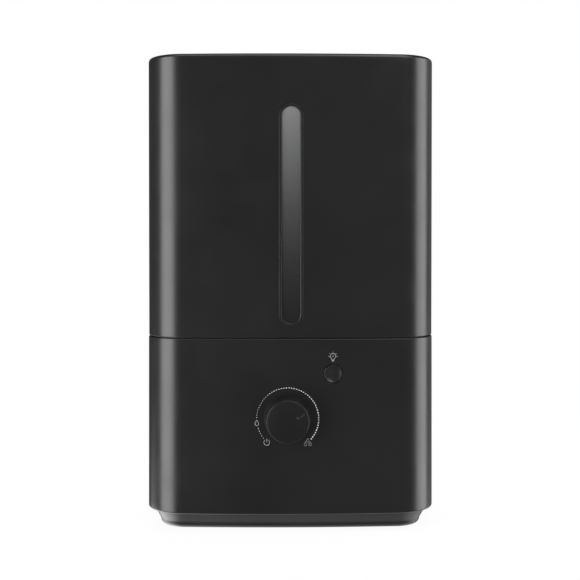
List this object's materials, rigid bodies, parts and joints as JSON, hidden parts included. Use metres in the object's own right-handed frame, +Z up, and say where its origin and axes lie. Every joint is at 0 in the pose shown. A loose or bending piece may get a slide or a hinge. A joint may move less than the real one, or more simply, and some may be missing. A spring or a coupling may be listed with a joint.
{
  "type": "cool mist humidifier",
  "caption": "Tall rounded-box ultrasonic humidifier: dark water tank with a level window over a base with a mist knob, a night light button and a tapered foot.",
  "frame": {"origin": "centre of the footprint on the surface that the humidifier stands on", "axes": "+Z up, the front with the knob faces -Y, +X to the right of someone facing the front"},
  "size_m": [0.19, 0.1652, 0.3106],
  "materials": {
    "shell_black": "fine satin, moulded",
    "foot_grey": "satin, moulded",
    "knob_black": "satin",
    "button_black": "smooth",
    "trim_black": "smooth",
    "smoke_clear": "smoky, see-through",
    "basin_grey": "satin",
    "black_rubber": "matt",
    "pale_silicone": "soft, matt",
    "white_plastic": "satin",
    "screw_steel": "zinc plated",
    "light_metal": "plain",
    "disc_ceramic": "fired, with a metal face",
    "board_green": "solder resist",
    "coil_copper": "enamelled winding",
    "part_blue": "sleeved",
    "dark_plastic": "moulded",
    "filter_foam": "open foam",
    "magnet_grey": "pressed ferrite",
    "glass_tube": "clear",
    "led_lens": "frosted",
    "lead_red": "insulated",
    "lead_white": "insulated",
    "lead_blue": "insulated",
    "lead_black": "insulated"
  },
  "bodies": {
    "base": {"base_housing": "shell_black", "foot_plinth": "foot_grey", "ring_foot": "black_rubber", "bottom_screws": "screw_steel", "water_basin": "basin_grey", "basin_bosses": "basin_grey", "air_tower": "basin_grey", "transducer_well": "basin_grey", "transducer_disc": "disc_ceramic", "transducer_seal": "black_rubber", "transducer_bracket": "light_metal", "transducer_screws": "screw_steel", "driver_board": "board_green", "board_screws": "screw_steel", "heat_sink": "light_metal", "drive_coil": "coil_copper", "capacitors": "part_blue", "fan_frame": "dark_plastic", "fan_stator": "coil_copper", "fan_screws": "screw_steel", "air_duct": "basin_grey", "intake_filter": "filter_foam", "filter_retainer": "basin_grey", "float_cap": "white_plastic", "reed_switch": "glass_tube", "night_light_led": "led_lens", "control_board": "board_green", "control_screws": "screw_steel", "control_body": "light_metal", "tact_switch": "dark_plastic", "power_inlet": "dark_plastic", "inlet_nut": "light_metal", "fan_lead": "lead_red", "disc_lead": "lead_white", "panel_lead": "lead_blue", "inlet_lead": "lead_black"},
    "fan_rotor": {"fan_impeller": "dark_plastic", "rotor_magnet": "magnet_grey"},
    "float": {"float_ring": "white_plastic", "float_magnet": "magnet_grey"},
    "knob": {"mist_knob": "knob_black", "control_shaft": "light_metal"},
    "button": {"night_light_button": "button_black", "switch_plunger": "dark_plastic"},
    "tank": {"tank_shell": "shell_black", "lid_ledge": "shell_black", "tank_bottom": "basin_grey", "mist_chimney": "basin_grey", "level_window": "smoke_clear", "window_frame": "trim_black", "valve_cap": "basin_grey", "cap_gasket": "pale_silicone", "valve_spring": "screw_steel"},
    "valve": {"valve_plunger": "white_plastic", "valve_seal": "pale_silicone"},
    "lid": {"tank_lid": "shell_black", "lid_grips": "shell_black", "lid_gasket": "pale_silicone"},
    "nozzle": {"mist_nozzle": "trim_black", "nozzle_retainer": "white_plastic"}
  },
  "joints": [
    {"name": "mist_knob_turn", "type": "hinge", "parent": "base", "child": "knob", "pos_m": [-0.0022, -0.075, 0.0744], "axis": [0, -1, 0], "range_deg": [-73, 205]},
    {"name": "night_light_press", "type": "slide", "parent": "base", "child": "button", "axis": [0, 1, 0], "range_m": [0, 0.001], "stiffness_N_per_m": 1200},
    {"name": "fan_spin", "type": "hinge", "parent": "base", "child": "fan_rotor", "pos_m": [-0.046, 0.019, 0.068], "axis": [0, 0, 1], "continuous": true},
    {"name": "float_rise", "type": "slide", "parent": "base", "child": "float", "axis": [0, 0, 1], "range_m": [0, 0.01]},
    {"name": "tank_lift", "type": "slide", "parent": "base", "child": "tank", "axis": [0, 0, 1], "range_m": [0, 0.06]},
    {"name": "valve_travel", "type": "slide", "parent": "tank", "child": "valve", "axis": [0, 0, -1], "range_m": [0, 0.004], "deforming": ["valve_spring"]},
    {"name": "lid_lift", "type": "slide", "parent": "tank", "child": "lid", "axis": [0, 0, 1], "range_m": [0, 0.05]},
    {"name": "nozzle_turn", "type": "hinge", "parent": "lid", "child": "nozzle", "pos_m": [0, 0.018, 0.3], "axis": [0, 0, 1], "continuous": true}
  ],
  "couplings": [
    {"joint": "valve_travel", "follows": "tank_lift", "ratio": 0.0666}
  ]
}
